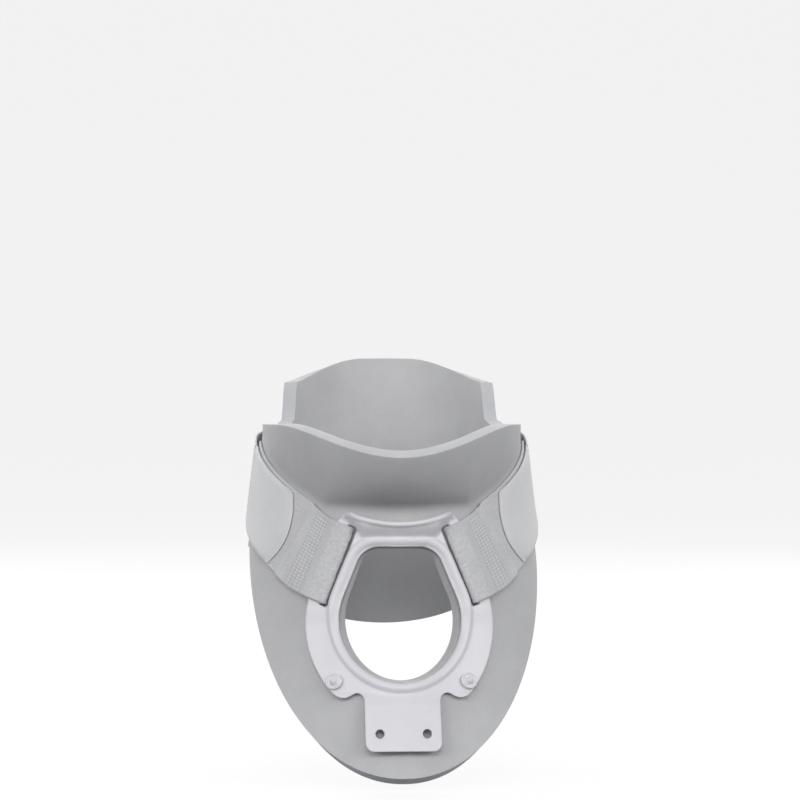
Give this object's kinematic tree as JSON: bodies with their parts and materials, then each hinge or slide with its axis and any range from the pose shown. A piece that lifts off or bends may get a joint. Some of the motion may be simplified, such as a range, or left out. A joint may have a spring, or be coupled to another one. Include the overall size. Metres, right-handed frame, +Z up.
{
  "type": "cervical collar",
  "caption": "Two-piece foam neck collar with a chin rest, throat window, plastic front and rear supports, and side straps that peel open.",
  "frame": {"origin": "on the neck's centre line, 31 mm below the crease where the front half's chin shelf starts", "axes": "+Z up along the neck, -Y the way the wearer faces, +X to the wearer's left; the collar is symmetric about X = 0"},
  "size_m": [0.1814, 0.222, 0.247],
  "materials": {
    "foam": "matte",
    "support_plastic": "satin",
    "rivet_plastic": "gloss",
    "washer_plastic": "satin",
    "loop_webbing": "matte",
    "strap_webbing": "matte",
    "hook_tape": "matte"
  },
  "bodies": {
    "front_half": {"front_foam_shell": "foam", "front_plate": "support_plastic", "front_rivet_left": "rivet_plastic", "front_rivet_right": "rivet_plastic", "front_rivet_washer_left": "washer_plastic", "front_rivet_washer_right": "washer_plastic", "front_loop_strap_left": "loop_webbing", "front_loop_strap_right": "loop_webbing"},
    "rear_half": {"rear_foam_shell": "foam", "rear_plate": "support_plastic", "rear_rivet_lower_left": "rivet_plastic", "rear_rivet_lower_right": "rivet_plastic", "rear_rivet_upper_left": "rivet_plastic", "rear_rivet_upper_right": "rivet_plastic", "rear_rivet_washer_lower_left": "washer_plastic", "rear_rivet_washer_lower_right": "washer_plastic", "rear_rivet_washer_upper_left": "washer_plastic", "rear_rivet_washer_upper_right": "washer_plastic", "rear_strap_left": "strap_webbing", "rear_strap_right": "strap_webbing"},
    "strap_left": {"strap_tab_left": "strap_webbing", "hook_patch_left": "hook_tape"},
    "strap_right": {"strap_tab_right": "strap_webbing", "hook_patch_right": "hook_tape"},
    "tip_left": {"strap_tip_left": "strap_webbing"},
    "tip_right": {"strap_tip_right": "strap_webbing"}
  },
  "joints": [
    {"name": "rear_half_slide", "type": "slide", "parent": "front_half", "child": "rear_half", "axis": [0, 1, 0], "range_m": [0, 0.11]},
    {"name": "strap_left_peel", "type": "hinge", "parent": "rear_half", "child": "strap_left", "pos_m": [-0.08652, 0.01486, 0.05124], "axis": [-0.1018, 0.4783, -0.8723], "range_deg": [0, 114]},
    {"name": "strap_right_peel", "type": "hinge", "parent": "rear_half", "child": "strap_right", "pos_m": [0.08652, 0.01486, 0.05124], "axis": [-0.1018, -0.4783, 0.8723], "range_deg": [0, 114]},
    {"name": "tip_left_lift", "type": "hinge", "parent": "strap_left", "child": "tip_left", "pos_m": [-0.07659, -0.0406, 0.02344], "axis": [-0.3985, 0.2822, -0.8727], "range_deg": [0, 50]},
    {"name": "tip_right_lift", "type": "hinge", "parent": "strap_right", "child": "tip_right", "pos_m": [0.07659, -0.0406, 0.02344], "axis": [-0.3985, -0.2822, 0.8727], "range_deg": [0, 50]}
  ],
  "couplings": [
    {"joint": "strap_left_peel", "follows": "rear_half_slide", "rad_per_m": 18},
    {"joint": "strap_right_peel", "follows": "rear_half_slide", "rad_per_m": 18}
  ]
}
